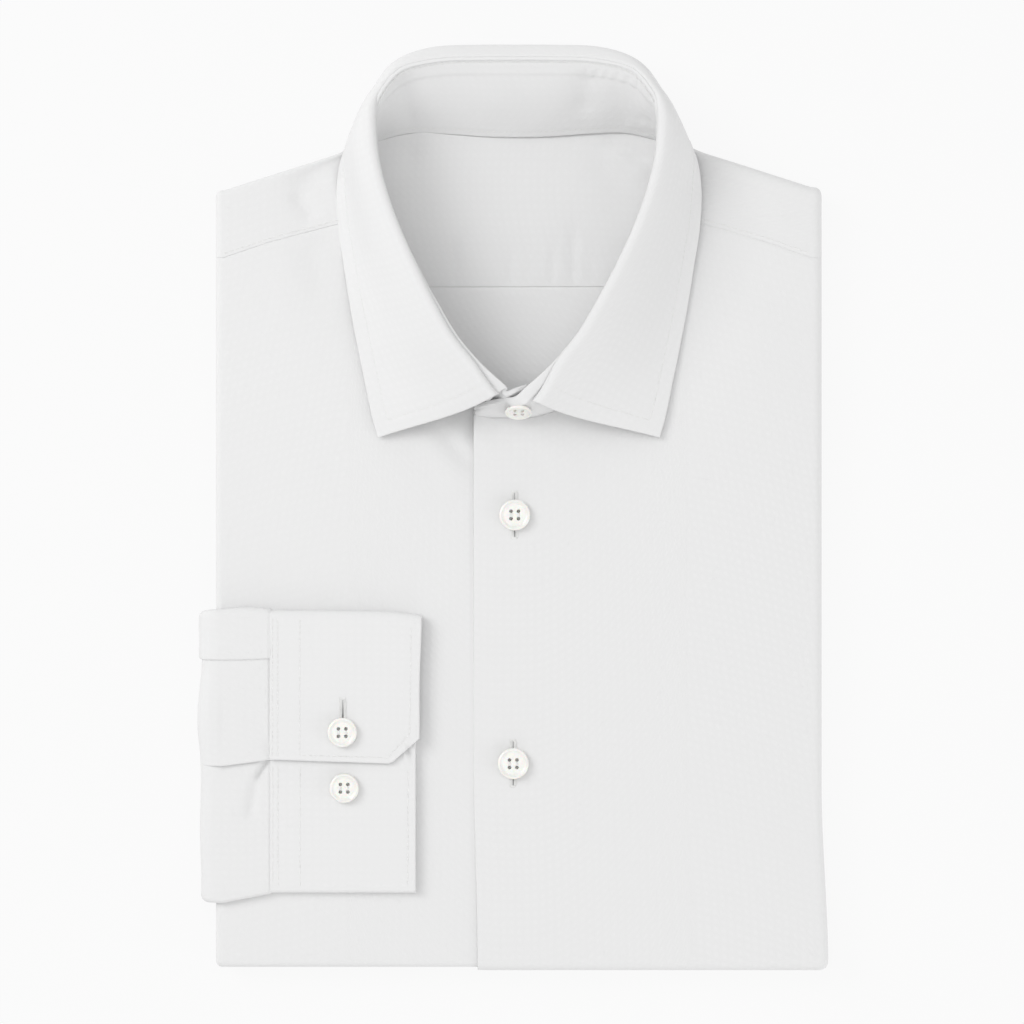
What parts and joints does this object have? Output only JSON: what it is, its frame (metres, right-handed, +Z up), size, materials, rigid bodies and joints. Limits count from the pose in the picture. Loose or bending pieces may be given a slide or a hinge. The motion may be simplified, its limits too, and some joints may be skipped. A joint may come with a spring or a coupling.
{
  "type": "folded dress shirt",
  "caption": "Dress shirt folded flat for display, with its collar buttoned up and one cuff laid across the front.",
  "frame": {"origin": "middle of the underside's bounding box, on the surface the shirt lies on", "axes": "+Z up out of the surface, +Y towards the collar, +X towards the wearer's left front (the viewer's right)"},
  "size_m": [0.2519, 0.37, 0.0434],
  "materials": {
    "cloth": "white cotton poplin, pressed",
    "button": "pearly, warm white"
  },
  "bodies": {
    "root": {"folded_layers": "cloth", "left_front": "cloth", "right_front": "cloth", "yoke_outer": "cloth", "yoke_inner": "cloth", "back_panel": "cloth", "collar_stand": "cloth", "collar_leaf": "cloth", "cuff": "cloth", "sleeve": "cloth", "button_collar": "button", "button_front_1": "button", "button_front_2": "button", "cuff_button_1": "button", "cuff_button_2": "button"}
  },
  "joints": []
}
